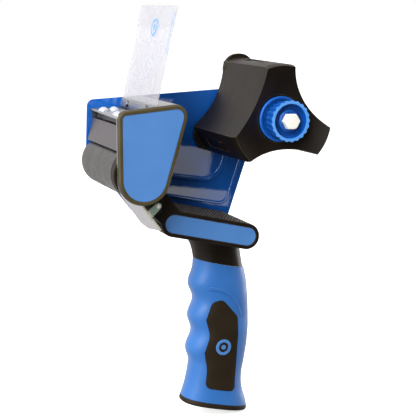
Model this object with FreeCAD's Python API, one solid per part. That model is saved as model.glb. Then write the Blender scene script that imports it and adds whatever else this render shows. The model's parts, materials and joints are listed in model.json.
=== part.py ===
import FreeCAD, Part
import math
import os

os.makedirs("parts", exist_ok=True)

# Pistol-grip tape dispenser for 75 mm tape on 76 mm cores. Millimetres.
# Origin: hub axis where it meets the inner face of the side plate.
# +X runs back from the roller towards the hub, +Y out through the side plate, +Z up.
# The tape, the hub and the head all lie on the -Y side of the plate.

V = FreeCAD.Vector
ACROSS = V(0, 1, 0)
FIT = 0.05                    # radial gap of a pin in its hole
SEAM = 0.05                   # gap between two pieces that are only seated together

# side plate
PLATE_T = 1.6
PLATE_BEAD = 1.0              # height of the pressed beads

# hub
CORE_R = 38.0                 # 76 mm tape core
HUB_NEAR = -81.0              # open end of the hub
HUB_FAR = -3.4
HUB_DRAFT = 0.7               # how much its section grows towards the plate
LOBE_HALF_DEG = 15.8
LOBE_TURN_DEG = 2.8
WAIST_R = 21.4
LUG_R = 42.0
DISH_DEPTH = 8.0
BEVEL = 1.2                   # how far the arm tips taper in towards the open end
BEVEL_FROM = -75.0
SEAT_Y = HUB_NEAR + DISH_DEPTH
SPINDLE_R = 6.0
FLANGE_R = 13.0               # the spindle's flange against the side plate
SPINDLE_END = -76.5

# tension knob
KNOB_BACK = -77.6
KNOB_FRONT = -92.2
KNOB_R = 14.2
KNOB_BACK_R = 12.2
KNOB_SCALLOPS = 21
BOLT_R = 3.0                  # M6
BOLT_HEX = 10.0
BOLT_HEAD = 5.2
BOLT_SEAT = -89.9
WASHER_R = 15.8

# head
WALL_T = 1.5
WALL_IN = -81.0
WALL_OUT = WALL_IN - WALL_T
COVER_T = 3.0
COVER_RIM = 2.5
DECK_TOP = 5.2
SHEET = 1.2
ROLLER_X = -105.0
ROLLER_Z = -32.0
ROLLER_R = 17.0
ROLLER_STEP = -74.8           # the rubber ends here and the core's black rim begins
AXLE_R = 3.0

# handle
TILT = math.radians(13.2)     # slope of the body, the grip's top and its bottom
BODY_FRONT = (-70.45, -72.7)
BODY_REAR = (-14.95, -85.7)
BODY_R = 9.35
BODY_NEAR = -54.5
NOSE_NEAR = -68.5
GRIP_Y = -27.0
GRIP_TOP = (-28.0, -108.3)
GRIP_FOOT = (-31.0, -213.6)
CAP_T = 4.3
FINGER_PITCH = 24.15
FINGER_DEPTH = 1.7

# blade and guard
BLADE_TIP = (-100.0, -51.8)
BLADE_DIR = (0.912, 0.410)
GUARD_TOP = (-98.7, -56.6)
GUARD_DIR = (0.583, -0.813)
PIVOT = (-88.0, -56.0)
PIVOT_R = 1.5

# flap
FLAP_FOOT = (-92.0, 5.2)
FLAP_LEAN = 0.23              # how far it leans back for each millimetre of height
FLAP_BEND_Z = 12.4
FLAP_TOP_Z = 77.0
FLAP_T = 0.5


# ---------------------------------------------------------------- helpers

def at(p, y):
    return V(p[0], y, p[1])


def along(p, d, s, n=0.0):
    """The point s along direction d from p, and n to the right of it."""
    return (p[0] + d[0] * s + d[1] * n, p[1] + d[1] * s - d[0] * n)


def outline(corners, y):
    """A closed wire in the plane Y = y through (x, z, corner radius)."""
    pts = [V(c[0], y, c[1]) for c in corners]
    radii = [c[2] if len(c) > 2 else 0.0 for c in corners]
    count = len(pts)
    ends = []
    for i in range(count):
        here = pts[i]
        back = (pts[i - 1] - here).normalize()
        ahead = (pts[(i + 1) % count] - here).normalize()
        r = radii[i]
        if r <= 0:
            ends.append((here, None, here))
            continue
        half = back.getAngle(ahead) / 2
        reach = r / math.tan(half)
        middle = (back + ahead).normalize()
        top = here + middle * (r / math.sin(half) - r)
        ends.append((here + back * reach, top, here + ahead * reach))
    edges = []
    for i in range(count):
        start, top, finish = ends[i]
        if top is not None:
            edges.append(Part.Arc(start, top, finish).toShape())
        following = ends[(i + 1) % count][0]
        if (following - finish).Length > 1e-6:
            edges.append(Part.makeLine(finish, following))
    return Part.Wire(edges)


def slab(corners, y0, y1):
    """The outline drawn out along Y from y0 to y1."""
    return Part.Face(outline(corners, y0)).extrude(V(0, y1 - y0, 0))


def grown(wire, by):
    return wire.makeOffset2D(by) if by else wire


def rod(r, y0, y1, x=0.0, z=0.0):
    low = min(y0, y1)
    return Part.makeCylinder(r, abs(y1 - y0), V(x, low, z), ACROSS)


def tube(outer, inner, y0, y1, x=0.0, z=0.0):
    low, high = sorted((y0, y1))
    return rod(outer, low, high, x, z).cut(rod(inner, low - 1, high + 1, x, z))


def cone(r0, r1, y0, y1, x=0.0, z=0.0):
    """A cone along Y with radius r0 at y0 and r1 at y1, for y0 < y1."""
    return Part.makeCone(r0, r1, y1 - y0, V(x, y0, z), ACROSS)


def folded(path, t, y0, y1):
    """A folded sheet: a line path in XZ thickened by t to its left."""
    normals = []
    for a, b in zip(path, path[1:]):
        length = math.hypot(b[0] - a[0], b[1] - a[1])
        normals.append((-(b[1] - a[1]) / length, (b[0] - a[0]) / length))
    offset = []
    for i, p in enumerate(path):
        n0 = normals[max(i - 1, 0)]
        n1 = normals[min(i, len(normals) - 1)]
        total = (n0[0] + n1[0], n0[1] + n1[1])
        scale = t * 2 / (total[0] ** 2 + total[1] ** 2)
        offset.append((p[0] + total[0] * scale, p[1] + total[1] * scale))
    return slab(list(path) + offset[::-1], y0, y1)


def oval(z, front, back, half, swell=0.0, power=2.5, steps=28):
    """A closed smooth oval in the plane Z = z between X = front and X = back."""
    a = (back - front) / 2 + swell
    b = half + swell
    mid = (back + front) / 2
    points = []
    for k in range(steps):
        t = 2 * math.pi * (k + 0.5) / steps
        c = math.cos(t)
        s = math.sin(t)
        x = mid + a * math.copysign(abs(c) ** (2 / power), c)
        y = GRIP_Y + b * math.copysign(abs(s) ** (2 / power), s)
        points.append(V(x, y, z))
    curve = Part.BSplineCurve()
    curve.interpolate(points, PeriodicFlag=True)
    return Part.Wire([curve.toShape()])


def sloped(point, up, size=200.0):
    """The space above or below the sloped plane through the point."""
    block = Part.makeBox(2 * size, 2 * size, size, V(-size, -size, 0 if up else -size))
    block.rotate(V(0, 0, 0), ACROSS, math.degrees(TILT))
    block.translate(V(point[0], GRIP_Y, point[1]))
    return block


def soften(shape, r, wanted):
    """Round the edges that the test picks."""
    edges = [e for e in shape.Edges if wanted(e)]
    return shape.makeFillet(r, edges) if edges else shape


def on_plane(edge, y):
    box = edge.BoundBox
    return abs(box.YMin - y) < 1e-4 and abs(box.YMax - y) < 1e-4


def save(name, *solids):
    kept = []
    for s in solids:
        kept += s.Solids
    shape = kept[0] if len(kept) == 1 else Part.makeCompound(kept)
    shape.exportStep("parts/" + name + ".step")


# ---------------------------------------------------------------- side plate

def body_corners(r):
    """The rounded bar outline of the handle's body, r from its centre line."""
    dx = BODY_REAR[0] - BODY_FRONT[0]
    dz = BODY_REAR[1] - BODY_FRONT[1]
    length = math.hypot(dx, dz)
    d = (dx / length, dz / length)
    e = r - 1e-3
    a = along(BODY_FRONT, d, -r)
    b = along(BODY_REAR, d, r)
    return [along(a, d, 0, -r) + (e,), along(b, d, 0, -r) + (e,),
            along(b, d, 0, r) + (e,), along(a, d, 0, r) + (e,)]


PLATE_OUTLINE = [
    (-116.3, 11.0, 5), (26.3, 17.8, 14), (-7.6, -80.0, 3),
    (-22.0, -84.0, 6), (-60.0, -80.0, 6), (-74.5, -82.0, 4), (-85.6, -69.6, 10),
    (-98.5, -52.5, 9), (-113.5, -44.5, 12), (-118.0, -30.0, 12),
]

BEAD_OUTER = [(13.6, -2.0), (-9.8, -71.0), (-66.0, -59.6)]
BEAD_INNER = [(2.0, 2.0), (-17.0, -53.0), (-74.0, -43.5)]

HANDLE_SCREWS = [BODY_FRONT, BODY_REAR]
FRAME_RIVETS = [(-106.0, -6.0), (-86.0, -6.0)]


def bead(path, width, turn, y0, y1):
    """A pressed bead that follows an L-shaped path with one rounded turn."""
    a, b, c = [V(p[0], y0, p[1]) for p in path]
    back = (a - b).normalize()
    ahead = (c - b).normalize()
    half = back.getAngle(ahead) / 2
    reach = turn / math.tan(half)
    top = b + (back + ahead).normalize() * (turn / math.sin(half) - turn)
    edges = [
        Part.makeLine(a, b + back * reach),
        Part.Arc(b + back * reach, top, b + ahead * reach).toShape(),
        Part.makeLine(b + ahead * reach, c),
    ]
    strip = Part.Wire(edges).makeOffset2D(width / 2)
    return Part.Face(strip).extrude(V(0, y1 - y0, 0))


def make_side_plate():
    plate = slab(PLATE_OUTLINE, 0, PLATE_T)
    plate = plate.fuse(slab(body_corners(BODY_R - 0.3), 0, PLATE_T)).removeSplitter()
    plate = soften(plate, 0.5, lambda e: on_plane(e, 0) or on_plane(e, PLATE_T))
    for path, width, turn in ((BEAD_OUTER, 2.6, 8.0), (BEAD_INNER, 4.2, 15.0)):
        rib = bead(path, width, turn, 0.2, -PLATE_BEAD)
        rib = soften(rib, 0.95, lambda e: on_plane(e, -PLATE_BEAD))
        rib = rib.cut(rod(FLANGE_R + 0.3, -2, 1))
        groove = bead(path, width - 1.0, turn, PLATE_T + 0.1, PLATE_T - PLATE_BEAD)
        plate = plate.fuse(rib).cut(groove)
    for x, z in HANDLE_SCREWS:
        plate = plate.cut(cone(2.0 + FIT, 4.0 + FIT, -0.4, PLATE_T, x, z))
    for x, z in FRAME_RIVETS:
        plate = plate.cut(cone(1.5 + FIT, 2.6 + FIT, 0.0, PLATE_T, x, z))
    plate = plate.cut(rod(AXLE_R + FIT, -1, PLATE_T + 1, ROLLER_X, ROLLER_Z))
    plate = plate.cut(rod(5.0 + FIT, -1, PLATE_T + 1))
    return plate


save("side_plate", make_side_plate())

rivets = []
for x, z in FRAME_RIVETS:
    rivet = cone(1.5, 2.6, 0.0, PLATE_T, x, z)
    rivet = rivet.fuse(rod(1.5, -SHEET, 0.0, x, z))
    rivet = rivet.fuse(rod(2.8, -SHEET - 0.9, -SHEET, x, z))
    rivets.append(rivet)
save("frame_rivets", *rivets)


# ---------------------------------------------------------------- hub and its brake

def lobe_point(r, deg):
    a = math.radians(deg + LOBE_TURN_DEG)
    return (r * math.cos(a), r * math.sin(a))


def hub_section(y, grow=0.0):
    """Three arms with tips on the core radius and hollow flanks between them."""
    edges = []
    tip = CORE_R + grow
    waist = WAIST_R + grow
    half = LOBE_HALF_DEG + math.degrees(grow / CORE_R)
    for k in range(3):
        mid = 90 - 120 * k
        a = at(lobe_point(tip, mid + half), y)
        b = at(lobe_point(tip, mid), y)
        c = at(lobe_point(tip, mid - half), y)
        d = at(lobe_point(waist, mid - 60), y)
        e = at(lobe_point(tip, mid - 120 + half), y)
        edges.append(Part.Arc(a, b, c).toShape())
        edges.append(Part.Arc(c, d, e).toShape())
    return Part.Wire(edges)


FINGER_L = 34.0
FINGER_Y = -22.0
FINGER_W = 7.0
HUB_BORE = 8.0
BUSH_L = 12.0


def turned(shape, k):
    """The shape moved from the top arm to arm k of the hub."""
    copy = shape.copy()
    copy.rotate(V(0, 0, 0), ACROSS, 120 * k - LOBE_TURN_DEG)
    return copy


def make_hub():
    hub = Part.makeLoft([hub_section(HUB_FAR, HUB_DRAFT), hub_section(HUB_NEAR)], True, True)
    taper = cone(CORE_R - BEVEL, CORE_R + 0.3, HUB_NEAR, BEVEL_FROM)
    hub = hub.common(rod(CORE_R + 2, HUB_FAR, BEVEL_FROM).fuse(taper))
    hub = soften(hub, 0.9, lambda e: on_plane(e, HUB_NEAR))
    lug_face = Part.Face(outline(
        [(-12.3, 30), (-12.3, LUG_R, 11.0), (11.5, LUG_R, 11.0), (11.5, 30)], HUB_FAR))
    lug = lug_face.extrude(V(0, -3.0, 0))
    slot = Part.makeBox(FINGER_W + 0.6, FINGER_L + 0.6, 9.0,
                        V(-FINGER_W / 2 - 0.3, FINGER_Y - FINGER_L - 0.3, CORE_R - 3.6))
    core = Part.makeCylinder(7.0, 58, V(0, HUB_FAR - 58, 22.5), ACROSS)
    for k in range(3):
        hub = hub.fuse(turned(lug, k))
        hub = hub.cut(turned(slot, k))
        hub = hub.cut(turned(core, k))
    ball_r = (CORE_R ** 2 + DISH_DEPTH ** 2) / (2 * DISH_DEPTH)
    hub = hub.cut(Part.makeSphere(ball_r, V(0, SEAT_Y - ball_r, 0)))
    hub = hub.cut(rod(WASHER_R + 0.8, SEAT_Y, SEAT_Y - 6))
    hub = hub.cut(rod(SPINDLE_R + 0.4, 0, -90))
    for y in (HUB_FAR, SEAT_Y + BUSH_L):
        hub = hub.cut(rod(HUB_BORE, y, y - BUSH_L))
    return hub


def make_finger():
    """A springy strip that lies in an arm's slot, with a low hump that grips the core."""
    top = CORE_R - 0.4
    strip = Part.makeBox(FINGER_W, FINGER_L, 1.8,
                         V(-FINGER_W / 2, FINGER_Y - FINGER_L, top - 1.8))
    foot = Part.makeBox(FINGER_W, 5.0, 1.8,
                        V(-FINGER_W / 2, FINGER_Y - 5.0, top - 3.6 + 0.4))
    hump = Part.makeCylinder(9.0, FINGER_W,
                             V(-FINGER_W / 2, FINGER_Y - FINGER_L + 8.0, top - 8.2), V(1, 0, 0))
    above = Part.makeBox(40, 80, 20, V(-20, -80, top - 1.0))
    return strip.fuse(foot).fuse(hump.common(above)).removeSplitter()


save("core_hub", make_hub())
save("core_fingers", *[turned(make_finger(), k) for k in range(3)])
bushes = []
for y in (HUB_FAR, SEAT_Y + BUSH_L):
    bushes.append(tube(HUB_BORE - 0.02, SPINDLE_R + FIT, y - 0.02, y - BUSH_L + 0.02))
save("hub_bushes", *bushes)

spindle = rod(5.0, 0, PLATE_T)
spindle = spindle.fuse(rod(FLANGE_R, 0, -2.4))
spindle = spindle.fuse(rod(SPINDLE_R, -2.4, SPINDLE_END))
spindle = spindle.cut(rod(BOLT_R + FIT, -20, -90))
save("hub_spindle", spindle)
save("far_washer", tube(12.5, SPINDLE_R + FIT, -2.42, HUB_FAR + SEAM))

press = tube(WASHER_R, SPINDLE_R + FIT, SEAT_Y - SEAM, SEAT_Y - 2.2)
press = press.fuse(tube(9.6, SPINDLE_R + FIT, SEAT_Y - 2.2, SEAT_Y - 2.8))
press = press.fuse(tube(WASHER_R, WASHER_R - 1.9, SEAT_Y - 2.2, SEAT_Y - 3.6))
press = soften(press, 0.6, lambda e: on_plane(e, SEAT_Y - 3.6))
save("pressure_washer", press)

SPRING_FROM = SEAT_Y - 2.85
SPRING_TO = -83.6
SPRING_WIRE = 0.75
SPRING_R = 8.4


def make_spring(r, wire, y0, y1, turns):
    """A round-wire coil whose wire stays between y0 and y1."""
    pitch = (abs(y1 - y0) - 2 * wire) / turns
    points = []
    for k in range(int(turns * 16) + 1):
        a = 2 * math.pi * k / 16
        points.append(V(r * math.cos(a), max(y0, y1) - wire - pitch * k / 16, r * math.sin(a)))
    path = Part.BSplineCurve()
    path.interpolate(points)
    start = points[0]
    ring = Part.Wire([Part.makeCircle(wire, start, path.tangent(path.FirstParameter)[0])])
    return Part.Wire([path.toShape()]).makePipeShell([ring], True, False)


save("brake_spring", make_spring(SPRING_R, SPRING_WIRE, SPRING_FROM, SPRING_TO, 3.0))
save("thrust_washer", tube(9.9, BOLT_R + 0.3, SPRING_TO - 0.02, SPRING_TO - 1.0))


def make_knob():
    """A flared cup with scalloped sides, hollow behind for the spring."""
    back = SPRING_TO - 1.02
    knob = cone(KNOB_R, KNOB_BACK_R, KNOB_FRONT, KNOB_BACK)
    for k in range(KNOB_SCALLOPS):
        a = 2 * math.pi * (k + 0.5) / KNOB_SCALLOPS
        reach = KNOB_R + 1.75
        foot = V(math.cos(a) * (reach - 2.4), KNOB_BACK + 1, math.sin(a) * (reach - 2.4))
        tip = V(math.cos(a) * reach, KNOB_FRONT - 1, math.sin(a) * reach)
        knob = knob.cut(Part.makeCylinder(2.2, (tip - foot).Length, foot, tip - foot))
    knob = knob.cut(cone(12.1, 10.8, KNOB_FRONT - 1, -87.0))
    knob = knob.fuse(rod(7.4, BOLT_SEAT, -86.0))
    knob = soften(knob, 0.6, lambda e: on_plane(e, BOLT_SEAT))
    knob = knob.cut(rod(10.2, KNOB_BACK + 1, back))
    knob = knob.cut(rod(BOLT_R + 0.02, -100, -70))
    return knob


def hexagon(flats, y0, y1, turn=0.0):
    r = flats / math.sqrt(3)
    points = []
    for k in range(7):
        a = math.radians(60 * k + turn)
        points.append(V(r * math.cos(a), y0, r * math.sin(a)))
    return Part.Face(Part.makePolygon(points)).extrude(V(0, y1 - y0, 0))


def make_bolt():
    seat = BOLT_SEAT - 0.02
    head = hexagon(BOLT_HEX, seat, seat - BOLT_HEAD)
    dome = cone(4.8, 8.1, seat - BOLT_HEAD, seat - BOLT_HEAD + 2.2)
    dome = dome.fuse(rod(8.1, seat - BOLT_HEAD + 2.2, seat))
    head = head.common(dome)
    shank = rod(BOLT_R - 0.02, seat, -45.0)
    tip = cone(BOLT_R - 0.02, BOLT_R - 1.0, -45.0, -44.0)
    return head.fuse(shank).fuse(tip)


save("tension_knob", make_knob())
save("tension_bolt", make_bolt())


# ---------------------------------------------------------------- head bracket and cover

COVER_OUTLINE = [             # two corners, and two sides that meet far below a round foot
    (-119.3, 9.5, 5.5), (-68.6, 13.9, 8.0), (-119.35, -156.7, 17.7),
]
DECK_RIVETS = [(-111.5, -24.5), (-104.0, -24.5), (-111.5, -57.5), (-104.0, -57.5)]
CLAMP_SCREWS = (-20.0, -61.0)
COVER_PEGS = [(-84.0, 3.0), (-103.0, -8.0), (-93.0, -36.0)]


def flap_x(z):
    return FLAP_FOOT[0] + (z - FLAP_FOOT[1]) * FLAP_LEAN


def riser(z):
    """A point on the back of the riser, whose front face carries the flap."""
    return (flap_x(z) + SHEET * math.hypot(1, FLAP_LEAN), z)


def clamp_bore(y, r, start=-8.0, length=14.0):
    """A bore square to the flap, from start to start + length behind its back face."""
    lean = V(1, 0, -FLAP_LEAN).normalize()
    return Part.makeCylinder(r, length, V(flap_x(8.7), y, 8.7) + lean * start, lean)


def make_bracket():
    """One folded sheet: near wall, front deck, riser, rear deck and far tab."""
    wall = Part.Face(grown(outline(COVER_OUTLINE, WALL_OUT), 0.3)).extrude(V(0, WALL_T, 0))
    deck = folded([(-117.6, DECK_TOP - SHEET), riser(DECK_TOP - SHEET),
                   riser(12.2 - SHEET), (-76.0, 12.6 - SHEET)], SHEET, WALL_IN, 0)
    skew = Part.makePolygon([V(-120, 1, 2), V(-114.3, 1, 2), V(-117.7, WALL_IN, 2),
                             V(-120, WALL_IN, 2), V(-120, 1, 2)])
    deck = deck.cut(Part.Face(skew).extrude(V(0, 0, 5)))
    tab = slab([(-113, DECK_TOP - 0.2), (-80, DECK_TOP - 0.2, 1), (-80, -13, 5), (-113, -13, 5)],
               -SHEET, 0)
    bracket = wall.fuse(deck).fuse(tab)
    bracket = bracket.cut(rod(AXLE_R + FIT, -90, -80, ROLLER_X, ROLLER_Z))
    for x, z in COVER_PEGS:
        bracket = bracket.cut(rod(2.0 + FIT, -90, -80, x, z))
    for x, y in DECK_RIVETS:
        bracket = bracket.cut(Part.makeCylinder(1.5 + FIT, 10, V(x, y, 0)))
    for x, z in FRAME_RIVETS:
        bracket = bracket.cut(rod(1.5 + FIT, -3, 1, x, z))
    for y in CLAMP_SCREWS:
        bracket = bracket.cut(clamp_bore(y, 1.25 + FIT))
    return bracket.removeSplitter()


def make_cover():
    body = slab(COVER_OUTLINE, WALL_OUT, WALL_OUT - COVER_T)
    body = soften(body, 1.1, lambda e: on_plane(e, WALL_OUT - COVER_T))
    inner = grown(outline(COVER_OUTLINE, WALL_OUT - COVER_T - 1), -COVER_RIM)
    body = body.cut(Part.Face(inner).extrude(V(0, 2.4, 0)))
    for x, z in COVER_PEGS:
        body = body.fuse(rod(2.0, WALL_OUT, WALL_IN + 0.3 - 0.4, x, z))
    return body


save("head_bracket", make_bracket())
save("head_cover", make_cover())
inlay_wire = grown(outline(COVER_OUTLINE, WALL_OUT - COVER_T + 1.38), -COVER_RIM - 0.08)
inlay = Part.Face(inlay_wire).extrude(V(0, -1.1, 0))
save("cover_inlay", soften(inlay, 0.25, lambda e: on_plane(e, WALL_OUT - COVER_T + 0.28)))

GUIDE_TOP = DECK_TOP - SHEET - 0.02
guide_path = [(-99.0, GUIDE_TOP), (-109.0, GUIDE_TOP), (-110.2, -1.0), (-113.0, -1.6), (-117.2, -17.0)]
guide = folded(guide_path, 1.2, -79.5, -2.6)
for x, y in DECK_RIVETS:
    guide = guide.cut(Part.makeCylinder(1.5 + FIT, 12, V(x, y, -4)))
save("guide_panel", guide)

deck_rivets = []
for x, y in DECK_RIVETS:
    head = Part.makeSphere(4.0, V(x, y, DECK_TOP - 1.4)).common(
        Part.makeBox(10, 10, 10, V(x - 5, y - 5, DECK_TOP + 0.01)))
    deck_rivets.append(head.fuse(Part.makeCylinder(1.5, SHEET + 1.2, V(x, y, DECK_TOP - 2.39))))
save("deck_rivets", *deck_rivets)


# ---------------------------------------------------------------- roller

save("roller_axle", rod(AXLE_R, WALL_OUT + 0.05, PLATE_T - 0.05, ROLLER_X, ROLLER_Z))
save("roller_washers",
     tube(5.5, AXLE_R + FIT, -0.1, -2.2, ROLLER_X, ROLLER_Z),
     tube(5.5, AXLE_R + FIT, WALL_IN + 0.1, WALL_IN + 1.2, ROLLER_X, ROLLER_Z))

core = rod(14.0, -2.3, ROLLER_STEP, ROLLER_X, ROLLER_Z)
core = core.fuse(rod(ROLLER_R - 0.2, ROLLER_STEP, -79.7, ROLLER_X, ROLLER_Z))
core = soften(core, 0.8, lambda e: on_plane(e, -79.7))
core = core.cut(rod(AXLE_R + FIT, 0, -90, ROLLER_X, ROLLER_Z))
for k in range(6):
    a = math.radians(60 * k)
    core = core.cut(rod(2.6, -70, -90, ROLLER_X + 9 * math.cos(a), ROLLER_Z + 9 * math.sin(a)))
save("roller_core", core)
sleeve = tube(ROLLER_R, 14.02, -2.5, ROLLER_STEP + 0.05, ROLLER_X, ROLLER_Z)
sleeve = soften(sleeve, 0.6, lambda e: on_plane(e, -2.5) and e.BoundBox.XLength > 30)
save("roller_sleeve", sleeve)


# ---------------------------------------------------------------- handle body and nose

def make_nose():
    """The block in front of the body that carries the blade and the guard's pin."""
    top_front = along(BLADE_TIP, BLADE_DIR, 6.5, 0.65)
    top_rear = along(BLADE_TIP, BLADE_DIR, 17.5, 0.65)
    face_top = along(GUARD_TOP, GUARD_DIR, -1.0, -5.0)
    face_low = along(GUARD_TOP, GUARD_DIR, 14.0, -5.0)
    corners = [top_front + (0.8,), top_rear + (3,), (-77.0, -49.5, 5), (-64.0, -67.0),
               (-74.0, -78.0), (-79.0, -73.0), face_low + (3,), face_top + (1,)]
    lug = [top_front + (0.8,), (-86.6, -46.5), (-83.6, -51.0, 3), (-84.6, -60.0, 3),
           (-88.4, -62.6, 2), face_top + (1,)]
    return slab(corners, -5.0, BODY_NEAR).fuse(slab(lug, BODY_NEAR, NOSE_NEAR))


def spring_pocket():
    return rod(3.6, -21.0, -31.0, *PIVOT)


def neck_sections():
    rows = [(-78, -56.0, -12.0, 21.0), (-87, -51.5, -12.8, 17.5), (-95, -47.4, -11.9, 14.6),
            (-103, -45.6, -10.4, 13.2), (-112, -45.2, -8.7, 12.8), (-122, -45.2, -7.0, 12.8)]
    return [oval(*row) for row in rows]


TANG_A = 13.0
TANG_B = 8.0
TANG_X = -28.5
TANG_FOOT = -203.0


def tang(extra=0.0):
    ring = Part.Ellipse(V(TANG_X, GRIP_Y, -100.0), TANG_A + extra, TANG_B + extra).toShape()
    drop = TANG_FOOT + 100.0 - (1.0 if extra else 0.0)
    return Part.Face(Part.Wire([ring])).extrude(V(0, 0, drop))


def make_handle_core():
    bar = slab(body_corners(BODY_R), 0, BODY_NEAR)
    bar = soften(bar, 0.9, lambda e: on_plane(e, BODY_NEAR))
    neck = Part.makeLoft(neck_sections(), True, False).cut(sloped(GRIP_TOP, False))
    neck = neck.cut(sloped((-28.0, -82.8), True))
    handle = bar.fuse(make_nose()).fuse(neck).fuse(tang())
    handle = handle.cut(slab(body_corners(BODY_R - 2.75), BODY_NEAR - 1, BODY_NEAR + 1.4))
    handle = handle.cut(rod(PIVOT_R, 0, -80, *PIVOT))
    handle = handle.cut(spring_pocket())
    for x, z in HANDLE_SCREWS:
        handle = handle.cut(rod(2.0 + FIT, 1, -16, x, z))
        handle = handle.cut(cone(2.0 + FIT, 2.45 + FIT, -0.4, 0.0, x, z))
    for y in BLADE_SCREWS:
        handle = handle.cut(blade_bore(y, 1.25 + FIT, 0.65, 6.4))
    handle = handle.cut(Part.makeCylinder(1.8 + FIT, 20, V(TANG_X, GRIP_Y, TANG_FOOT - 1)))
    return handle


# ---------------------------------------------------------------- blade, clamp and guard

BLADE_T = 0.6
BLADE_L = 15.0
BLADE_SCREWS = (-14.0, -38.0, -60.0)
TEETH = 29
TEETH_PITCH = 2.5


def blade_bore(y, r, n0, n1):
    """A bore square to the blade, from n0 to n1 below its top face."""
    foot = along(BLADE_TIP, BLADE_DIR, 11.5, n0)
    deep = along(BLADE_TIP, BLADE_DIR, 11.5, n1)
    step = at(deep, y) - at(foot, y)
    return Part.makeCylinder(r, step.Length, at(foot, y), step)


def make_blade():
    """A serrated strip across the whole tape width."""
    start = along(BLADE_TIP, BLADE_DIR, 2.0)
    rear = along(BLADE_TIP, BLADE_DIR, BLADE_L)
    y0 = -5.0
    y1 = y0 - TEETH * TEETH_PITCH
    points = [at(rear, y1), at(rear, y0), at(start, y0)]
    for k in range(TEETH):
        y = y0 - k * TEETH_PITCH
        points.append(at(BLADE_TIP, y - TEETH_PITCH / 2))
        points.append(at(start, y - TEETH_PITCH))
    points.append(points[0])
    down = V(BLADE_DIR[1], 0, -BLADE_DIR[0])
    blade = Part.Face(Part.makePolygon(points)).extrude(down * BLADE_T)
    for y in BLADE_SCREWS:
        blade = blade.cut(blade_bore(y, 1.25 + FIT, -1, 2))
    return blade


def make_blade_clamp():
    a = along(BLADE_TIP, BLADE_DIR, 8.0, -0.02)
    b = along(BLADE_TIP, BLADE_DIR, 15.0, -0.02)
    c = along(BLADE_TIP, BLADE_DIR, 15.0, -1.22)
    d = along(BLADE_TIP, BLADE_DIR, 8.0, -1.22)
    bar = slab([a, b, c, d], -6.0, -68.0)
    for y in BLADE_SCREWS:
        bar = bar.cut(blade_bore(y, 1.25 + FIT, -3, 1))
    return bar


save("handle_core", make_handle_core())
save("blade", make_blade())
save("blade_clamp", make_blade_clamp())
screws = []
for y in BLADE_SCREWS:
    screw = blade_bore(y, 1.25, -1.24, 6.0).fuse(blade_bore(y, 2.4, -2.5, -1.24))
    screws.append(screw)
save("blade_screws", *screws)

save("guard_pin", rod(PIVOT_R - 0.01, -2.6, -72.0, *PIVOT))

GUARD_T = 1.2
GUARD_NEAR = -71.0
GUARD_FAR = -22.0


def guard_point(s, y):
    return at(along(GUARD_TOP, GUARD_DIR, s), y)


def make_guard():
    """A sloped shield with a full-width lip over the teeth and an ear at each end."""
    inward = V(-GUARD_DIR[1], 0, GUARD_DIR[0]) * GUARD_T
    rim = [guard_point(-0.5, GUARD_NEAR), guard_point(20.4, GUARD_NEAR), guard_point(27.0, -34.0),
           guard_point(24.5, GUARD_FAR), guard_point(-0.5, GUARD_FAR)]
    shield = Part.Face(Part.makePolygon(rim + rim[:1])).extrude(inward)
    lip_rim = [guard_point(-6.2, GUARD_NEAR), guard_point(1.0, GUARD_NEAR),
               guard_point(1.0, GUARD_FAR - 3), guard_point(-3.6, GUARD_FAR),
               guard_point(-3.6, -3.4), guard_point(-6.2, -3.4)]
    lip = Part.Face(Part.makePolygon(lip_rim + lip_rim[:1])).extrude(inward)
    guard = shield.fuse(lip)
    near_ear = slab([along(GUARD_TOP, GUARD_DIR, 4.2, -0.6),
                     along(GUARD_TOP, GUARD_DIR, 3.4, -11.4) + (2.3,),
                     along(GUARD_TOP, GUARD_DIR, 8.1, -11.4) + (2.3,),
                     along(GUARD_TOP, GUARD_DIR, 9.4, -0.6)],
                    GUARD_NEAR, GUARD_NEAR + GUARD_T)
    far_ear = slab([along(GUARD_TOP, GUARD_DIR, -6.0), along(GUARD_TOP, GUARD_DIR, -3.7),
                    (PIVOT[0] + 3.4, PIVOT[1] - 2.6, 2.0), (PIVOT[0] + 1.0, PIVOT[1] + 3.6, 2.0)],
                   -3.4 - GUARD_T, -3.4)
    guard = guard.fuse(near_ear).fuse(far_ear)
    guard = guard.cut(rod(PIVOT_R + FIT, 0, -80, *PIVOT))
    guard = guard.removeSplitter()
    return guard


save("blade_guard", make_guard())

coil = make_spring(2.7, 0.4, -21.4, -30.0, 6.0)
coil.translate(V(PIVOT[0], 0, PIVOT[1]))
save("guard_spring", coil)

BODY_INLAY = BODY_NEAR + 1.38
inlay = slab(body_corners(BODY_R - 2.83), BODY_INLAY, BODY_INLAY - 1.15)
save("body_inlay", soften(inlay, 0.25, lambda e: on_plane(e, BODY_INLAY - 1.15)))

screws = []
for x, z in HANDLE_SCREWS:
    screw = cone(2.0, 4.0, -0.4, PLATE_T - 0.02, x, z).fuse(rod(2.0, -15, -0.4, x, z))
    screws.append(screw.cut(hexagon(2.5, PLATE_T + 1, PLATE_T - 1.2).translated(V(x, 0, z))))
save("handle_screws", *screws)


# ---------------------------------------------------------------- grip

GRIP_KNOTS = [                # height, front edge, back edge, half thickness
    (-96, -44.6, -10.5, 13.4), (-105, -45.2, -9.4, 13.5), (-112, -46.2, -8.0, 13.7),
    (-122, -46.2, -5.7, 14.0), (-135, -46.2, -4.5, 14.2), (-147, -46.8, -4.0, 14.3),
    (-159, -47.5, -4.0, 14.4), (-171, -48.4, -5.0, 14.3), (-183, -49.5, -7.1, 14.0),
    (-193, -51.2, -9.2, 13.8), (-202, -53.6, -9.3, 14.0), (-207, -55.6, -8.4, 14.3),
    (-216, -58.0, -5.6, 15.0), (-232, -60.0, -4.0, 15.4),
]


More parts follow.
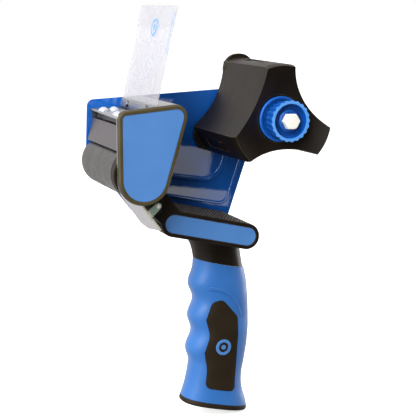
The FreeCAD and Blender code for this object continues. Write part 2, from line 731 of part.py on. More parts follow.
def between_knots(z):
    for a, b in zip(GRIP_KNOTS, GRIP_KNOTS[1:]):
        if b[0] <= z <= a[0]:
            t = (a[0] - z) / (a[0] - b[0])
            return [p + (q - p) * t for p, q in zip(a[1:], b[1:])]
    return list(GRIP_KNOTS[-1][1:])


def finger_wave(z):
    """Three swellings at the front, one below each finger but the last."""
    if not -147 - 1.5 * FINGER_PITCH < z < -147 + 1.5 * FINGER_PITCH:
        return 0.0
    return FINGER_DEPTH * (1 + math.cos(2 * math.pi * (z + 147) / FINGER_PITCH))


def grip_loft(swell=0.0):
    wires = []
    z = -98.7
    step = FINGER_PITCH / 5
    while z > -232:
        front, back, half = between_knots(z)
        wires.append(oval(z, front - finger_wave(z), back, half, swell))
        z -= step
    return Part.makeLoft(wires, True, False)


PANEL_OUTLINE = [
    (-36.2, -135.6, 5), (-28.4, -134.2, 5), (-16.6, -148.0, 6), (-16.2, -160.0, 20),
    (-18.6, -205.6, 3.5), (-41.8, -200.2, 4.5), (-40.2, -186.0, 25), (-42.2, -173.5, 0.6),
    (-37.8, -161.0, 14), (-40.9, -148.6, 0.6),
]
PANEL_FLOOR = 9.5
EMBLEM_FLOOR = 12.0           # both floors are measured from the grip's middle plane
EMBLEM = (-28.0, -170.0)


def panel_block(grow, side, reach=20.0):
    """The panel's outline drawn from the pocket floor out through the grip's side."""
    wire = grown(outline(PANEL_OUTLINE, GRIP_Y + side * PANEL_FLOOR), grow)
    return Part.Face(wire).extrude(V(0, side * reach, 0))


def emblem_block(grow):
    """A tape roll seen from its end: a ring round a dot."""
    y = GRIP_Y - EMBLEM_FLOOR - (0.0 if grow else 0.05)
    x, z = EMBLEM
    ring = rod(6.0 + grow, y, y - 20, x, z).cut(rod(3.7 - grow, y + 1, y - 21, x, z))
    return ring.fuse(rod(1.8 + grow, y, y - 20, x, z))


def thumb_ridge(grip):
    """A low raised arc that frames the thumb on both sides of the grip."""
    path = Part.Arc(V(-38.0, 0, -125.4), V(-22.2, 0, -131.0), V(-12.4, 0, -147.0)).toShape()
    strip = Part.Face(Part.Wire([path]).makeOffset2D(1.1))
    band = strip.extrude(V(0, -60, 0))
    return band.common(grip_loft(0.9)).fuse(grip)


def make_grip():
    whole = grip_loft()
    above = whole.common(sloped(GRIP_TOP, False)).common(sloped(GRIP_FOOT, True))
    above = thumb_ridge(above)
    above = above.cut(tang(0.1))
    above = above.cut(Part.makeCylinder(1.8 + FIT, 20, V(TANG_X, GRIP_Y, TANG_FOOT - 16)))
    for side in (-1, 1):
        above = above.cut(panel_block(0.06, side))
    return above


def make_panel(side):
    skin = grip_loft(0.3)
    panel = skin.common(panel_block(0.0, side))
    gap_middle = GRIP_Y + side * (PANEL_FLOOR + SEAM / 2)
    gap = Part.makeBox(80, SEAM, 120, V(-70, gap_middle - SEAM / 2, -220))
    panel = panel.cut(gap)
    if side < 0:
        panel = panel.cut(emblem_block(0.05))
    return panel


save("grip_sleeve", make_grip())
save("grip_panel_near", make_panel(-1))
save("grip_panel_far", make_panel(1))
save("grip_emblem", emblem_block(0.0).common(grip_loft(0.5)))



def on_cap_rim(edge):
    """The long edge round the cap's underside."""
    box = edge.BoundBox
    return box.XLength > 30 and box.YLength > 20 and box.ZMin < -222


cap_top = (GRIP_FOOT[0], GRIP_FOOT[1] - SEAM)
cap_foot = (GRIP_FOOT[0], GRIP_FOOT[1] - CAP_T)
cap = grip_loft(0.15).common(sloped(cap_top, False)).common(sloped(cap_foot, True))
cap = soften(cap, 2.0, on_cap_rim)
cap = cap.cut(Part.makeCylinder(1.8 + FIT, 60, V(TANG_X, GRIP_Y, -240)))
cap = cap.cut(Part.makeCylinder(3.6, 20, V(TANG_X, GRIP_Y, -235.5)))
save("end_cap", cap)
screw = Part.makeCylinder(1.8, 26, V(TANG_X, GRIP_Y, -215.4))
screw = screw.fuse(Part.makeCylinder(3.4, 1.9, V(TANG_X, GRIP_Y, -217.4)))
save("end_cap_screw", screw)


# ---------------------------------------------------------------- flap

def flap_strip(z0, z1, offset, t, y0=-78.0, y1=-3.0):
    """A strip parallel to the flap between two heights, offset forwards."""
    a = (flap_x(z0) - offset, z0)
    b = (flap_x(z1) - offset, z1)
    return folded([a, b], t, y0, y1)


bend_x = flap_x(FLAP_BEND_Z) - 0.03 - FLAP_T / 2 * math.hypot(1, FLAP_LEAN)
base = flap_strip(5.6, FLAP_BEND_Z, 0.03, FLAP_T)
base = base.cut(rod(FLAP_T / 2 + SEAM, 0, -80, bend_x, FLAP_BEND_Z))
clamp = flap_strip(6.2, 11.2, FLAP_T + 0.1, 1.2, -76.0, -5.0)
flap = flap_strip(FLAP_BEND_Z, FLAP_TOP_Z, 0.03, FLAP_T)
flap = flap.fuse(rod(FLAP_T / 2, -78.0, -3.0, bend_x, FLAP_BEND_Z)).removeSplitter()
flap = soften(flap, 2.0, lambda e: e.BoundBox.ZMin > 76 and e.BoundBox.YLength < 0.1)
for y in CLAMP_SCREWS:
    base = base.cut(clamp_bore(y, 1.25 + FIT))
    clamp = clamp.cut(clamp_bore(y, 1.25 + FIT))
save("flap_base", base)
save("flap_clamp", clamp)
save("tape_flap", flap)

screws = []
for y in CLAMP_SCREWS:
    screws.append(clamp_bore(y, 1.25, -1.82, 4.6).fuse(clamp_bore(y, 2.4, -3.22, 1.4)))
save("clamp_screws", *screws)
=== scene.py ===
import json
import math

import bpy
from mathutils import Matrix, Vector


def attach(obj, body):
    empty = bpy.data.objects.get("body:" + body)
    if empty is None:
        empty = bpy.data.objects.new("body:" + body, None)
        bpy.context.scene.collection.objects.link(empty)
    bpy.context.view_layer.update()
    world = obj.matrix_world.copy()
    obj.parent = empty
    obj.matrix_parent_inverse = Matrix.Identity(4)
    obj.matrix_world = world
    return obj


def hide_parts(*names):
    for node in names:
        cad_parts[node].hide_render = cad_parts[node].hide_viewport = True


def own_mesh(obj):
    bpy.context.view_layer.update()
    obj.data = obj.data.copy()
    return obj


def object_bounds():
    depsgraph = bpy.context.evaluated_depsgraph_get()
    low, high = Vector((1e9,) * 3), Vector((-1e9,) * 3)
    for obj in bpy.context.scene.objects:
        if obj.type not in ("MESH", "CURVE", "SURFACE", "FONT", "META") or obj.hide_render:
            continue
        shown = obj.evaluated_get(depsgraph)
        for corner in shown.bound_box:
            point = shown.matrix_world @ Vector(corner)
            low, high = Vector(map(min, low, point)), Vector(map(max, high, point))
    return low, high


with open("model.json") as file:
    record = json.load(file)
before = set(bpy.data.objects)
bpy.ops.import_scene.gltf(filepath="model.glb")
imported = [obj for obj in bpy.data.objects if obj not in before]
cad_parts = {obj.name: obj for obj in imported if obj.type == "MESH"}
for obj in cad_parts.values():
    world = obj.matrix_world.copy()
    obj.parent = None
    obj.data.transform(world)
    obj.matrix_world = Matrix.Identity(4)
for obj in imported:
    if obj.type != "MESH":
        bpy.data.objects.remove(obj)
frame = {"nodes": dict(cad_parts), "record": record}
cad_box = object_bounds()
nodes = frame["nodes"]
scene = bpy.context.scene
MM = 0.001


# ---------------------------------------------------------------- shader helpers

def start(name):
    """A new node material: the material, its tree and its main shader."""
    mat = bpy.data.materials.new(name)
    mat.use_nodes = True
    return mat, mat.node_tree, mat.node_tree.nodes["Principled BSDF"]


def add(tree, kind, inputs=None, **settings):
    """A node with its settings, and each input either linked or given a value."""
    node = tree.nodes.new(kind)
    for key, value in settings.items():
        setattr(node, key, value)
    for key, value in (inputs or {}).items():
        give(tree, node.inputs[key], value)
    return node


def give(tree, socket, value):
    """Link a socket to another node's output, or set its value."""
    if isinstance(value, bpy.types.NodeSocket):
        tree.links.new(value, socket)
    else:
        socket.default_value = value


def rgb(r, g, b):
    """An opaque colour."""
    return (r, g, b, 1.0)


def scaled(colour, factor):
    """A colour made lighter or darker, no brighter than white."""
    return rgb(*[min(1.0, c * factor) for c in colour])


def maths(tree, operation, a, b):
    """Two values added or multiplied."""
    return add(tree, "ShaderNodeMath", {0: a, 1: b}, operation=operation).outputs[0]


def dot(tree, a, b):
    """The dot product of two vectors."""
    node = add(tree, "ShaderNodeVectorMath", {0: a, 1: b}, operation="DOT_PRODUCT")
    return node.outputs["Value"]


def along(tree, axis, vector):
    """One coordinate of a vector."""
    return add(tree, "ShaderNodeSeparateXYZ", {"Vector": vector}).outputs[axis]


def mix(tree, factor, a, b):
    """Shader a where the factor is 0 and b where it is 1."""
    return add(tree, "ShaderNodeMixShader", {"Fac": factor, 1: a, 2: b}).outputs[0]


def place(tree, stretch=(1, 1, 1)):
    """Positions in the row frame, stretched along an axis where a grain runs."""
    coords = add(tree, "ShaderNodeTexCoord").outputs["Object"]
    return add(tree, "ShaderNodeMapping", {"Vector": coords, "Scale": stretch}).outputs["Vector"]


def noise(tree, size_mm, detail=3.0, stretch=(1, 1, 1), rough=0.55):
    """Noise whose lumps are about size_mm across."""
    node = add(tree, "ShaderNodeTexNoise", {
        "Vector": place(tree, stretch), "Scale": 1 / (size_mm * MM), "Detail": detail,
        "Roughness": rough})
    return node.outputs["Fac"]


def ranged(tree, value, low, high, from_low=0.3, from_high=0.7):
    """A value carried from one range to another; plain noise mostly lies in 0.3 to 0.7."""
    node = add(tree, "ShaderNodeMapRange", {
        "Value": value, "From Min": from_low, "From Max": from_high,
        "To Min": low, "To Max": high})
    return node.outputs["Result"]


def blend_colour(tree, factor, a, b):
    """Colour a where the factor is 0 and b where it is 1."""
    node = add(tree, "ShaderNodeMix", data_type="RGBA")
    for name, value in (("Factor_Float", factor), ("A_Color", a), ("B_Color", b)):
        give(tree, next(s for s in node.inputs if s.identifier == name), value)
    return next(s for s in node.outputs if s.identifier == "Result_Color")


def bump(tree, height, depth_mm, below=None):
    """A bump whose height value of 1 stands depth_mm proud, laid over the one below."""
    inputs = {"Height": height, "Strength": 1.0, "Distance": depth_mm * MM}
    if below is not None:
        inputs["Normal"] = below
    return add(tree, "ShaderNodeBump", inputs).outputs["Normal"]


# ---------------------------------------------------------------- finishes

SHADER_SAMPLES = 4             # rays for the painted edge light and the painted shade in corners
FLAT, TURNED = 0.995, 0.86     # cosines between the true normal and one rounded at the edge
EDGE_LIGHT_PATCH_MM = 3.0                   # size of the patches in which the painted edge light is stronger
EDGE_LIGHT_LEAST = 0.35               # the weakest patch of painted edge light, as a share of the strongest
SHUT_IN, OPEN = 0.45, 0.80     # open sky seen from a corner in full painted shade, and from a face left unshaded
SHADE_COVER = 0.92                   # how strongly the painted shade covers a corner
SHADE_DARK = 0.1               # the painted shade's colour, as a share of the base colour
PEEL_STRETCH = (1, 1, 0.5)     # orange peel sags down the face
PEEL_ROUGH = 0.6


def edges(tree, radius_mm):
    """1 on an edge and 0 on the flat, from how far a rounded normal turns; the mask for painted
    edge light.
    """
    soft = add(tree, "ShaderNodeBevel", {"Radius": radius_mm * MM}, samples=SHADER_SAMPLES)
    true = add(tree, "ShaderNodeNewGeometry")
    turn = dot(tree, soft.outputs["Normal"], true.outputs["Normal"])
    return ranged(tree, turn, 0.0, 1.0, FLAT, TURNED)


def painted_edge_light(tree, colour, edge, edge_mm, share):
    """Painted edge light: the edge colour mixed in along the edges, a highlight where it is
    lighter than the base and a shade where it is darker, stronger in some patches than in others.
    """
    patchy = ranged(tree, noise(tree, EDGE_LIGHT_PATCH_MM, 4.0), EDGE_LIGHT_LEAST * share, share)
    edge_light = maths(tree, "MULTIPLY", edges(tree, edge_mm), patchy)
    return blend_colour(tree, edge_light, colour, rgb(*edge))


def painted_corner_shade(tree, colour, base, reach_mm):
    """Painted shade: the corners darkened, where little open sky is in reach."""
    sky = add(tree, "ShaderNodeAmbientOcclusion", {"Distance": reach_mm * MM},
              samples=SHADER_SAMPLES)
    corner_shade = ranged(tree, sky.outputs["AO"], SHADE_COVER, 0.0, SHUT_IN, OPEN)
    return blend_colour(tree, corner_shade, colour, scaled(base, SHADE_DARK))


def finish(name, base, rough, *, metal=0.0, grain_mm=0.5, grain_depth=0.01, spread=0.08,
           blotch_mm=18.0, tint=0.12, coat=0.0, coat_rough=0.05, sheen=0.0, edge=None,
           edge_mm=0.35, edge_share=0.6, stretch=(1, 1, 1), peel=None, specular=0.5,
           crevice_mm=0.0):
    """A finish with fine grain, broad mottling and uneven roughness, with painted light on its
    edges when given an edge colour and painted shade in its corners when given a reach.
    """
    mat, tree, shader = start(name)
    broad = noise(tree, blotch_mm, 4.0)
    fine = noise(tree, grain_mm, 3.0, stretch)
    colour = blend_colour(tree, ranged(tree, broad, 0.0, 1.0),
                          scaled(base, 1 - tint), scaled(base, 1 + tint))
    # painted edge light: a highlight where the edge colour is lighter than the base, a shade
    # where it is darker
    if edge:
        colour = painted_edge_light(tree, colour, edge, edge_mm, edge_share)
    # painted shade in corners and recesses
    if crevice_mm:
        colour = painted_corner_shade(tree, colour, base, crevice_mm)
    half = spread / 2
    roughness = maths(tree, "ADD", ranged(tree, fine, -half, half),
                      ranged(tree, broad, rough - half, rough + half))
    normal = bump(tree, fine, grain_depth)
    if peel:
        peel_mm, peel_depth = peel
        waves = noise(tree, peel_mm, 3.0, PEEL_STRETCH, PEEL_ROUGH)
        normal = bump(tree, waves, peel_depth, normal)
        give(tree, shader.inputs["Coat Normal"], normal)
    for key, value in {
            "Base Color": colour, "Roughness": roughness, "Normal": normal, "Metallic": metal,
            "Specular IOR Level": specular, "Coat Weight": coat, "Coat Roughness": coat_rough,
            "Sheen Weight": sheen}.items():
        give(tree, shader.inputs[key], value)
    return mat


def brushed(name, base, rough, stretch, **more):
    """Metal with fine lines along one direction."""
    settings = {"metal": 1.0, "grain_mm": 0.45, "grain_depth": 0.006, "spread": 0.16,
                "tint": 0.08}
    settings.update(more)
    return finish(name, base, rough, stretch=stretch, **settings)


def overlay(made, factor, colour):
    """Lay a second colour over a finished material, as strong as the factor says."""
    tree = made.node_tree
    socket = tree.nodes["Principled BSDF"].inputs["Base Color"]
    under = socket.links[0].from_socket
    give(tree, socket, blend_colour(tree, factor, under, rgb(*colour)))


def near_edge(tree, y, reach_mm, strength):
    """The strength at a piece's near edge, which lies at y, fading to 0 at its reach."""
    depth = along(tree, "Y", place(tree))
    return ranged(tree, depth, 0.0, strength, y + reach_mm * MM, y + 0.1 * MM)


# ---------------------------------------------------------------- materials

KNOB_FRONT = -0.0922           # Y of the knob's front rim, in metres
GUARD_NEAR = -0.0710           # Y of the guard's near edge
GUARD_NORMAL = (0.813, 0.0, 0.583)      # square to the guard's shield, pointing inward
GUARD_BACK = -0.1119           # where the shield ends and the ear begins, along that normal
EVEN = (1, 1, 1)               # no direction to the grain
ACROSS = (1, 0.06, 1)          # lines that run along Y


def knob_blue(name):
    """Glossy blue moulding, its front rim made paler as a painted highlight, with painted edge
    highlights and painted shade in its recesses.
    """
    made = finish(name, (0.003, 0.080, 0.40), 0.30, grain_mm=0.8, grain_depth=0.006, spread=0.06,
                  coat=0.5, coat_rough=0.10, specular=0.2, edge=(0.10, 0.36, 0.85), edge_mm=0.8,
                  edge_share=0.9, crevice_mm=3.5)
    # painted highlight on the knob's front rim
    overlay(made, near_edge(made.node_tree, KNOB_FRONT, 0.5, 0.75), (0.12, 0.38, 0.88))
    return made


def bloomed_zinc(name):
    """Zinc plate with passivated tint in patches and cream on its near edge, with painted
    highlights on its edges, painted shade in its corners and a painted greenish shade on its ear.
    """
    made = brushed(name, (0.68, 0.67, 0.72), 0.36, ACROSS, metal=0.55, edge=(0.86, 0.84, 0.66),
                   edge_mm=0.7, edge_share=1.0, crevice_mm=5.0)
    tree = made.node_tree
    inward = dot(tree, place(tree), GUARD_NORMAL)
    ear_shade = ranged(tree, inward, 0.0, 0.9, GUARD_BACK, GUARD_BACK + 1.0 * MM)
    bloom = ranged(tree, noise(tree, 9.0, 2.0), 0.0, 0.4, 0.45, 0.65)
    overlay(made, bloom, (0.70, 0.66, 0.56))
    overlay(made, near_edge(tree, GUARD_NEAR, 0.6, 0.8), (0.92, 0.90, 0.62))
    # painted greenish shade on the ear
    overlay(made, ear_shade, (0.30, 0.42, 0.38))
    return made


def clear_sheet(name):
    """Milky clear sheet: mostly lets light straight through, with a thin haze and gloss."""
    mat, tree, shader = start(name)
    tree.nodes.remove(shader)
    through = add(tree, "ShaderNodeBsdfTransparent", {"Color": rgb(0.895, 0.895, 0.925)})
    haze = add(tree, "ShaderNodeBsdfDiffuse", {"Color": rgb(0.76, 0.76, 0.80)})
    glow = add(tree, "ShaderNodeBsdfTranslucent", {"Color": rgb(0.76, 0.76, 0.82)})
    milk = mix(tree, 0.5, haze.outputs[0], glow.outputs[0])
    milkiness = ranged(tree, noise(tree, 14.0, 3.0, (1, 1, 0.4)), 0.20, 0.34)
    body = mix(tree, milkiness, through.outputs[0], milk)
    ripple = bump(tree, noise(tree, 16.0, 2.0, (1, 1, 0.3)), 0.02)
    gloss = add(tree, "ShaderNodeBsdfGlossy", {"Color": rgb(1, 1, 1), "Roughness": 0.06,
                                               "Normal": ripple})
    facing = add(tree, "ShaderNodeLayerWeight", {"Blend": 0.25}).outputs["Fresnel"]
    whole = mix(tree, maths(tree, "MULTIPLY", facing, 0.6), body, gloss.outputs[0])
    give(tree, tree.nodes["Material Output"].inputs["Surface"], whole)
    return mat


# Edge colours below paint light along the edges, and corner reaches paint shade in the corners.
SLOTS = {
    "blue_enamel": finish(
        "blue_enamel", (0.004, 0.088, 0.380), 0.45, grain_mm=0.8, grain_depth=0.0004, spread=0.06,
        tint=0.03, coat=1.0, coat_rough=0.012, peel=(2.4, 0.0060), specular=0.05,
        edge=(0.02, 0.14, 0.48), edge_mm=0.4),
    "zinc_steel": brushed("zinc_steel", (0.42, 0.43, 0.45), 0.36, ACROSS,
                          edge=(0.80, 0.79, 0.76), crevice_mm=5.0),
    "bloomed_zinc": bloomed_zinc("bloomed_zinc"),
    "dome_zinc": brushed("dome_zinc", (0.60, 0.63, 0.70), 0.42, EVEN, metal=0.55,
                         crevice_mm=3.0),
    # near-white and barely metallic: a painted glint on the tension bolt's head
    "glint_white_zinc": brushed("glint_white_zinc", (0.90, 0.90, 0.83), 0.34, ACROSS, metal=0.10),
    "grey_steel": finish(
        "grey_steel", (0.090, 0.079, 0.088), 0.36, metal=0.35, grain_mm=0.4, grain_depth=0.008,
        spread=0.1, edge=(0.32, 0.30, 0.30), crevice_mm=9.0),
    "bright_steel": brushed("bright_steel", (0.88, 0.88, 0.84), 0.22, ACROSS),
    "blade_steel": brushed("blade_steel", (0.62, 0.62, 0.62), 0.28, ACROSS, edge=(0.9, 0.9, 0.9)),
    "spring_steel": brushed("spring_steel", (0.72, 0.73, 0.74), 0.22, EVEN),
    "black_plastic": finish(
        "black_plastic", (0.0085, 0.0050, 0.0022), 0.46, grain_mm=0.45, grain_depth=0.018,
        tint=0.2, specular=0.28, edge=(0.11, 0.08, 0.042), edge_mm=0.8, edge_share=1.0),
    # a brownish base over black plastic, a painted highlight along the rim
    "black_rim": finish(
        "black_rim", (0.064, 0.050, 0.020), 0.42, tint=0.15, specular=0.3,
        edge=(0.110, 0.090, 0.045), edge_mm=0.8),
    "dark_panel": finish(
        "dark_panel", (0.0165, 0.0098, 0.0030), 0.55, grain_mm=0.4, grain_depth=0.022, spread=0.1,
        specular=0.3, edge=(0.012, 0.016, 0.024), edge_mm=0.5),
    "light_blue_inlay": finish(
        "light_blue_inlay", (0.070, 0.205, 0.500), 0.48, grain_mm=0.35, tint=0.035,
        edge=(0.02, 0.10, 0.36), edge_mm=0.5),
    "blue_plastic": knob_blue("blue_plastic"),
    "grip_rubber": finish(
        "grip_rubber", (0.020, 0.135, 0.430), 0.46, grain_mm=0.35, grain_depth=0.016, spread=0.1,
        tint=0.05, sheen=0.25, edge=(0.015, 0.09, 0.36), edge_mm=0.5),
    "roller_rubber": finish(
        "roller_rubber", (0.036, 0.031, 0.032), 0.34, spread=0.16, stretch=(1, 0.12, 1),
        tint=0.25, blotch_mm=12.0, edge=(0.02, 0.016, 0.012)),
    "nylon_bush": finish("nylon_bush", (0.72, 0.69, 0.60), 0.45),
    "fibre_washer": finish("fibre_washer", (0.28, 0.11, 0.05), 0.7, grain_mm=0.3,
                           grain_depth=0.05, tint=0.3),
    "clear_sheet": clear_sheet("clear_sheet"),
}


# ---------------------------------------------------------------- CAD pieces

ROUNDED = {                    # edge rounding in millimetres, on pieces with plain edges
    "head_bracket": 0.25, "guide_panel": 0.2, "blade_guard": 0.2, "flap_clamp": 0.2,
    "blade_clamp": 0.2, "tension_bolt": 0.3, "tension_knob": 0.4, "core_hub": 0.35,
    "handle_core": 0.35, "pressure_washer": 0.2, "thrust_washer": 0.15, "roller_core": 0.3,
    "grip_emblem": 0.15, "core_fingers": 0.25,
}
OWN_LOOK = {                   # pieces whose zinc looks different from the rest
    "tension_bolt": "glint_white_zinc", "deck_rivets": "dome_zinc", "blade_guard": "bloomed_zinc",
}
WELD_GAP = 0.001 * MM          # the mesh's doubled points are closer than this
SHARP = math.radians(40)       # edges that turn more than this are rounded


def dress(name, node):
    """Give a CAD piece its slot's material, and round its plain edges."""
    slot = next(s["material_slot"] for s in frame["record"]["subparts"] if s["node"] == name)
    node.data.materials.clear()
    node.data.materials.append(SLOTS[OWN_LOOK.get(name, slot)])
    if name in ROUNDED:
        round_edges(node, ROUNDED[name] * MM)


def round_edges(node, radius):
    """Weld the mesh, round its sharp edges, and keep its faces shaded flat between them."""
    weld = node.modifiers.new("weld", "WELD")
    weld.merge_threshold = WELD_GAP
    bevel = node.modifiers.new("round", "BEVEL")
    bevel.width = radius
    bevel.segments = 2
    bevel.limit_method = "ANGLE"
    bevel.angle_limit = SHARP
    bevel.miter_outer = "MITER_ARC"
    even = node.modifiers.new("even", "WEIGHTED_NORMAL")
    even.keep_sharp = False


for name, node in nodes.items():
    dress(name, node)


# ---------------------------------------------------------------- added pieces

def piece(name, points, faces, look, body, smooth=True):
    """A mesh piece in the row frame, given in millimetres, that rides on a CAD body."""
    mesh = bpy.data.meshes.new(name)
    mesh.from_pydata([[c * MM for c in p] for p in points], [], faces)
    mesh.polygons.foreach_set("use_smooth", [smooth] * len(faces))
    mesh.update()
    made = bpy.data.objects.new(name, mesh)
    scene.collection.objects.link(made)
    mesh.materials.append(look)
    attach(made, body)


BAR_FRONT = Vector((-68.32, -63.60))    # ends of the body bar's top edge line, in X and Z
BAR_REAR = Vector((-12.82, -76.60))
BAR_ALONG = (BAR_REAR - BAR_FRONT).normalized()
BAR_UP = Vector((-BAR_ALONG.y, BAR_ALONG.x))
STUD_SIDES = 8
STUD_RINGS = ((0.95, -0.15), (0.75, 0.30), (0.35, 0.42))    # radius, and height over the bar
STUD_ROWS = 22                 # across the bar, and as many studs in each row
STUD_PITCH = 2.3
STUD_START = 5.5               # the first stud, behind the bar's front end
STUD_NEAR = -51.5              # Y of the nearest row


def stud(points, faces, forward, y):
    """Add one low stud: two bands of side faces between three rings, and two caps."""
    base = len(points)
    for radius, height in STUD_RINGS:
        for k in range(STUD_SIDES):
            angle = 2 * math.pi * k / STUD_SIDES
            line = BAR_FRONT + BAR_ALONG * (forward + radius * math.cos(angle))
            x, z = line + BAR_UP * height
            points.append((x, y + radius * math.sin(angle), z))
    for ring in range(len(STUD_RINGS) - 1):
        for k in range(STUD_SIDES):
            a = base + ring * STUD_SIDES + k
            b = base + ring * STUD_SIDES + (k + 1) % STUD_SIDES
            faces.append((a, b, b + STUD_SIDES, a + STUD_SIDES))
    top = base + (len(STUD_RINGS) - 1) * STUD_SIDES
    faces.append([top + k for k in range(STUD_SIDES)])
    faces.append([base + STUD_SIDES - 1 - k for k in range(STUD_SIDES)])


def tread():
    """Rows of low studs on top of the body bar, set in a diamond pattern."""
    points, faces = [], []
    for row in range(STUD_ROWS):
        offset = STUD_START + 0.5 * STUD_PITCH * (row % 2)
        for k in range(STUD_ROWS):
            stud(points, faces, offset + k * STUD_PITCH, STUD_NEAR + row * STUD_PITCH)
    piece("body_tread", points, faces, SLOTS["black_plastic"], "frame")


def brake_coil():
    """The brake spring as its own piece on the frame, with the CAD spring hidden."""
    spring = nodes["brake_spring"]
    coil = bpy.data.objects.new("brake_coil", spring.data.copy())
    scene.collection.objects.link(coil)
    coil.matrix_world = spring.matrix_world
    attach(coil, "frame")
    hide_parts("brake_spring")
    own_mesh(coil)


tread()
brake_coil()


# ---------------------------------------------------------------- prints on the flap

FLAP_BOTTOM = (-92.0, 5.2)     # the flap's back plane, in X and Z
FLAP_LEAN = 0.23               # how far it leans in X for each millimetre of height
FLAP_SLOPE = math.hypot(1, FLAP_LEAN)
FLAP_FRONT = 0.53              # its front face stands this far ahead of that plane
FLAP_MIDDLE = -40.5            # Y of its centre line
PRINT_SUNK, PRINT_PROUD = -0.02, 0.06   # a print's back and front, from the flap's face


def on_flap(across, z, proud):
    """A point on the flap's front face: across it, its height, and how far it stands proud."""
    x = FLAP_BOTTOM[0] + (z - FLAP_BOTTOM[1]) * FLAP_LEAN - (FLAP_FRONT + proud) * FLAP_SLOPE
    return (x, FLAP_MIDDLE + across, z)


def print_strip(inner, outer, closed=True):
    """A thin raised band between two lines of (across, height) points on the flap."""
    points, faces = [], []
    n = len(inner)
    for proud in (PRINT_SUNK, PRINT_PROUD):
        for line in (inner, outer):
            points += [on_flap(u, z, proud) for u, z in line]
    for k in range(n if closed else n - 1):
        m = (k + 1) % n
        faces += [(2 * n + k, 2 * n + m, 3 * n + m, 3 * n + k), (k, n + k, n + m, m),
                  (k, m, 2 * n + m, 2 * n + k), (n + k, 3 * n + k, 3 * n + m, n + m)]
    if not closed:
        faces += [(0, 2 * n, 3 * n, n), (n - 1, 2 * n - 1, 4 * n - 1, 3 * n - 1)]
    return points, faces


def circle(across, z, radius, count=40):
    """A circle on the flap."""
    angles = [2 * math.pi * k / count for k in range(count)]
    return [(across + radius * math.cos(a), z + radius * math.sin(a)) for a in angles]


def ring(across, z, inner, outer):
    """A printed ring."""
    return print_strip(circle(across, z, inner), circle(across, z, outer))


def rounded_box(z, half_across, half_height, radius, count=6):
    """A rounded rectangle about the flap's centre line."""
    line = []
    for turn, (u, v) in enumerate(((1, 1), (-1, 1), (-1, -1), (1, -1))):
        for k in range(count + 1):
            a = math.pi / 2 * (turn + k / count)
            line.append((u * (half_across - radius) + radius * math.cos(a),
                         z + v * (half_height - radius) + radius * math.sin(a)))
    return line


def merged(parts):
    """Several strips as one list of points and one of faces."""
    points, faces = [], []
    for p, f in parts:
        faces += [[i + len(points) for i in face] for face in f]
        points += p
    return points, faces


def ink(name, low, high, roughness, speck_mm, grain_mm, alpha):
    """Thin ink that lets the sheet show through, in two mottled tones."""
    made, tree, shader = start(name)
    tone = ranged(tree, noise(tree, speck_mm, 3.0), 0.0, 1.0)
    give(tree, shader.inputs["Base Color"], blend_colour(tree, tone, low, high))
    give(tree, shader.inputs["Roughness"], ranged(tree, noise(tree, grain_mm), *roughness))
    give(tree, shader.inputs["Alpha"], alpha)
    return made, tree, shader


MARK_Z = 62.5
EDGE = -33.4                   # just inside the flap's near edge
EDGE_WIDTH = 0.7
EDGE_LOW, EDGE_HIGH = 46.0, 73.0


def flap_mark():
    """A blue ring and dot near the flap's top, and a blue line down its near edge."""
    line = [[(u, EDGE_LOW), (u, EDGE_HIGH)] for u in (EDGE, EDGE - EDGE_WIDTH)]
    points, faces = merged([ring(0, MARK_Z, 4.4, 6.0), ring(0, MARK_Z, 0.2, 2.0),
                            print_strip(*line, closed=False)])
    blue, tree, shader = ink("flap_ink", rgb(0.16, 0.42, 0.80), rgb(0.24, 0.50, 0.84),
                             (0.35, 0.55), 1.2, 0.6, 0.7)
    give(tree, shader.inputs["Normal"], bump(tree, noise(tree, 0.6), 0.01))
    piece("flap_mark", points, faces, blue, "flap", smooth=False)


PANEL_Z = 36.0
PANEL_LINE = 1.2               # width of the panel's outline
TAPE_LOW, TAPE_HIGH = PANEL_Z - 9.0, PANEL_Z - 7.0


def flap_guide_print():
    """A frosted threading picture: a roll and its tape inside a rounded outline."""
    outline = print_strip(rounded_box(PANEL_Z, 21.0, 16.5, 3.0),
                          rounded_box(PANEL_Z, 21.0 + PANEL_LINE, 16.5 + PANEL_LINE,
                                      3.0 + PANEL_LINE))
    tape = [[(-3.0, z), (14.0, z)] for z in (TAPE_HIGH, TAPE_LOW)]
    points, faces = merged([outline, ring(-3, PANEL_Z + 1, 4.5, 9.0),
                            print_strip(*tape, closed=False)])
    frost = ink("flap_frost", rgb(0.70, 0.71, 0.80), rgb(0.78, 0.79, 0.87),
                (0.4, 0.6), 2.0, 0.8, 0.22)[0]
    piece("flap_guide_print", points, faces, frost, "flap", smooth=False)


flap_mark()
flap_guide_print()


# ---------------------------------------------------------------- stage, light and camera

def sheet(name, corners, look, where=(0, 0, 0), turn=(0, 0, 0)):
    """A flat sheet of the studio, which isn't part of the object."""
    mesh = bpy.data.meshes.new(name)
    mesh.from_pydata(corners, [], [(0, 1, 2, 3)])
    mesh.materials.append(look)
    made = bpy.data.objects.new(name, mesh)
    made.location = where
    made.rotation_euler = turn
    scene.collection.objects.link(made)
    return made


FLOOR_REACH = 12.0             # metres from the middle to each side
FLOOR_GAP = 0.5 * MM           # under the object's lowest point


def pale_floor():
    """A plain pale floor, seen by the camera and shaded by the object."""
    mat, tree, shader = start("floor")
    tone = ranged(tree, noise(tree, 160.0), 0.0, 1.0)
    pale = blend_colour(tree, tone, rgb(0.93, 0.93, 0.93), rgb(0.96, 0.96, 0.96))
    for key, value in {
            "Base Color": pale, "Roughness": 0.9, "Specular IOR Level": 0.0,
            "Emission Color": rgb(1, 1, 1), "Emission Strength": 0.62}.items():
        give(tree, shader.inputs[key], value)
    z = cad_box[0].z - FLOOR_GAP
    r = FLOOR_REACH
    floor = sheet("floor", [(-r, -r, z), (r, -r, z), (r, r, z), (-r, r, z)], mat)
    floor.visible_glossy = False
    floor.visible_diffuse = False


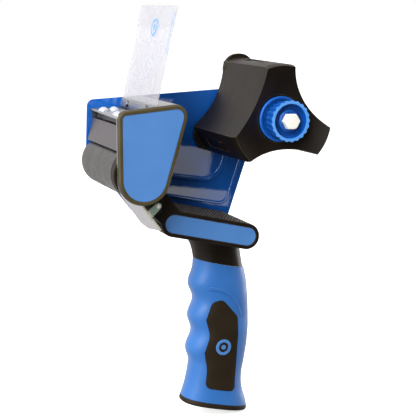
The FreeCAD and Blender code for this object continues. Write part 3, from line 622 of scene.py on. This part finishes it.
WORLD_LEVEL = 0.95             # the studio's walls, as the object sees them
FRONT_LEVEL = 0.06             # the dim side, in front of the object
FRONT_SIDE = Vector((0.40, -0.90, -0.15)).normalized()
BELOW_LEVEL = 0.45             # what is left of the walls' light straight below


def studio_walls():
    """An even studio that is dim in front and below; the camera sees it as plain white."""
    world = bpy.data.worlds.new("studio")
    world.use_nodes = True
    scene.world = world
    tree = world.node_tree
    tree.nodes.clear()
    direction = add(tree, "ShaderNodeTexCoord").outputs["Generated"]
    ahead = dot(tree, direction, FRONT_SIDE)
    walls = ranged(tree, ahead, WORLD_LEVEL, FRONT_LEVEL, 0.30, 0.80)
    below = ranged(tree, along(tree, "Z", direction), BELOW_LEVEL, 1.0, -0.80, -0.10)
    lit = add(tree, "ShaderNodeBackground", {
        "Color": rgb(1.0, 0.985, 0.97), "Strength": maths(tree, "MULTIPLY", walls, below)})
    plain = add(tree, "ShaderNodeBackground", {"Color": rgb(1, 1, 1), "Strength": 1.0})
    seen = add(tree, "ShaderNodeLightPath").outputs["Is Camera Ray"]
    add(tree, "ShaderNodeOutputWorld",
        {"Surface": mix(tree, seen, lit.outputs[0], plain.outputs[0])})


LAMP_AIM = Vector((-0.05, -0.04, -0.06))


def softbox(name, where, size, watts):
    """A square soft light that points at the object."""
    data = bpy.data.lights.new(name, "AREA")
    data.shape = "RECTANGLE"
    data.size = size
    data.size_y = size
    data.energy = watts
    lamp = bpy.data.objects.new(name, data)
    lamp.location = where
    lamp.rotation_mode = "QUATERNION"
    lamp.rotation_quaternion = (LAMP_AIM - Vector(where)).to_track_quat("-Z", "Y")
    scene.collection.objects.link(lamp)
    lamp.visible_camera = False


STRIP_Y = -1.0                 # how far in front of the origin the strips stand
STRIP_TILT = math.radians(8)   # they lean a little, low at the right


def strip(name, x, z, length, height, strength):
    """A plain glowing strip, in metres, that only glossy surfaces mirror."""
    look, tree, shader = start(name)
    tree.nodes.remove(shader)
    glow = add(tree, "ShaderNodeEmission", {"Color": rgb(1.0, 0.96, 0.92), "Strength": strength})
    give(tree, tree.nodes["Material Output"].inputs["Surface"], glow.outputs[0])
    u, v = length / 2, height / 2
    card = sheet(name, [(-u, 0, -v), (u, 0, -v), (u, 0, v), (-u, 0, v)], look,
                 (x, STRIP_Y, z), (0, STRIP_TILT, 0))
    card.visible_camera = False
    card.visible_diffuse = False
    card.visible_shadow = False
    card.visible_transmission = False


CAMERA_PLACE = (-0.3364, -0.7932, 0.0800)
CAMERA_TURN = math.radians(21.5)        # to the right of straight ahead
CAMERA_DIP = math.radians(10.2)         # below level
CAMERA_LENS = 99.5
CAMERA_SENSOR = 36.0


def add_camera():
    """The camera, above and to the left, looking down at the object."""
    data = bpy.data.cameras.new("camera")
    data.sensor_width = CAMERA_SENSOR
    data.lens = CAMERA_LENS
    camera = bpy.data.objects.new("camera", data)
    camera.location = CAMERA_PLACE
    ahead = Vector((math.sin(CAMERA_TURN) * math.cos(CAMERA_DIP),
                    math.cos(CAMERA_TURN) * math.cos(CAMERA_DIP), -math.sin(CAMERA_DIP)))
    camera.rotation_mode = "QUATERNION"
    camera.rotation_quaternion = ahead.to_track_quat("-Z", "Y")
    scene.collection.objects.link(camera)
    scene.camera = camera
    scene.view_settings.view_transform = "Standard"
    scene.view_settings.look = "None"


pale_floor()
studio_walls()
softbox("key", (-1.0, -0.9, 1.0), 0.9, 26.0)
softbox("front", (-1.15, -1.45, 0.35), 0.7, 18.0)
softbox("side", (1.5, 0.15, 0.05), 0.8, 19.0)
strip("card_top", 0.25, -0.08, 0.16, 0.015, 2.2)
strip("card_middle", 0.30, -0.18, 0.15, 0.05, 2.2)
strip("card_low", 0.32, -0.24, 0.18, 0.025, 3.0)
add_camera()
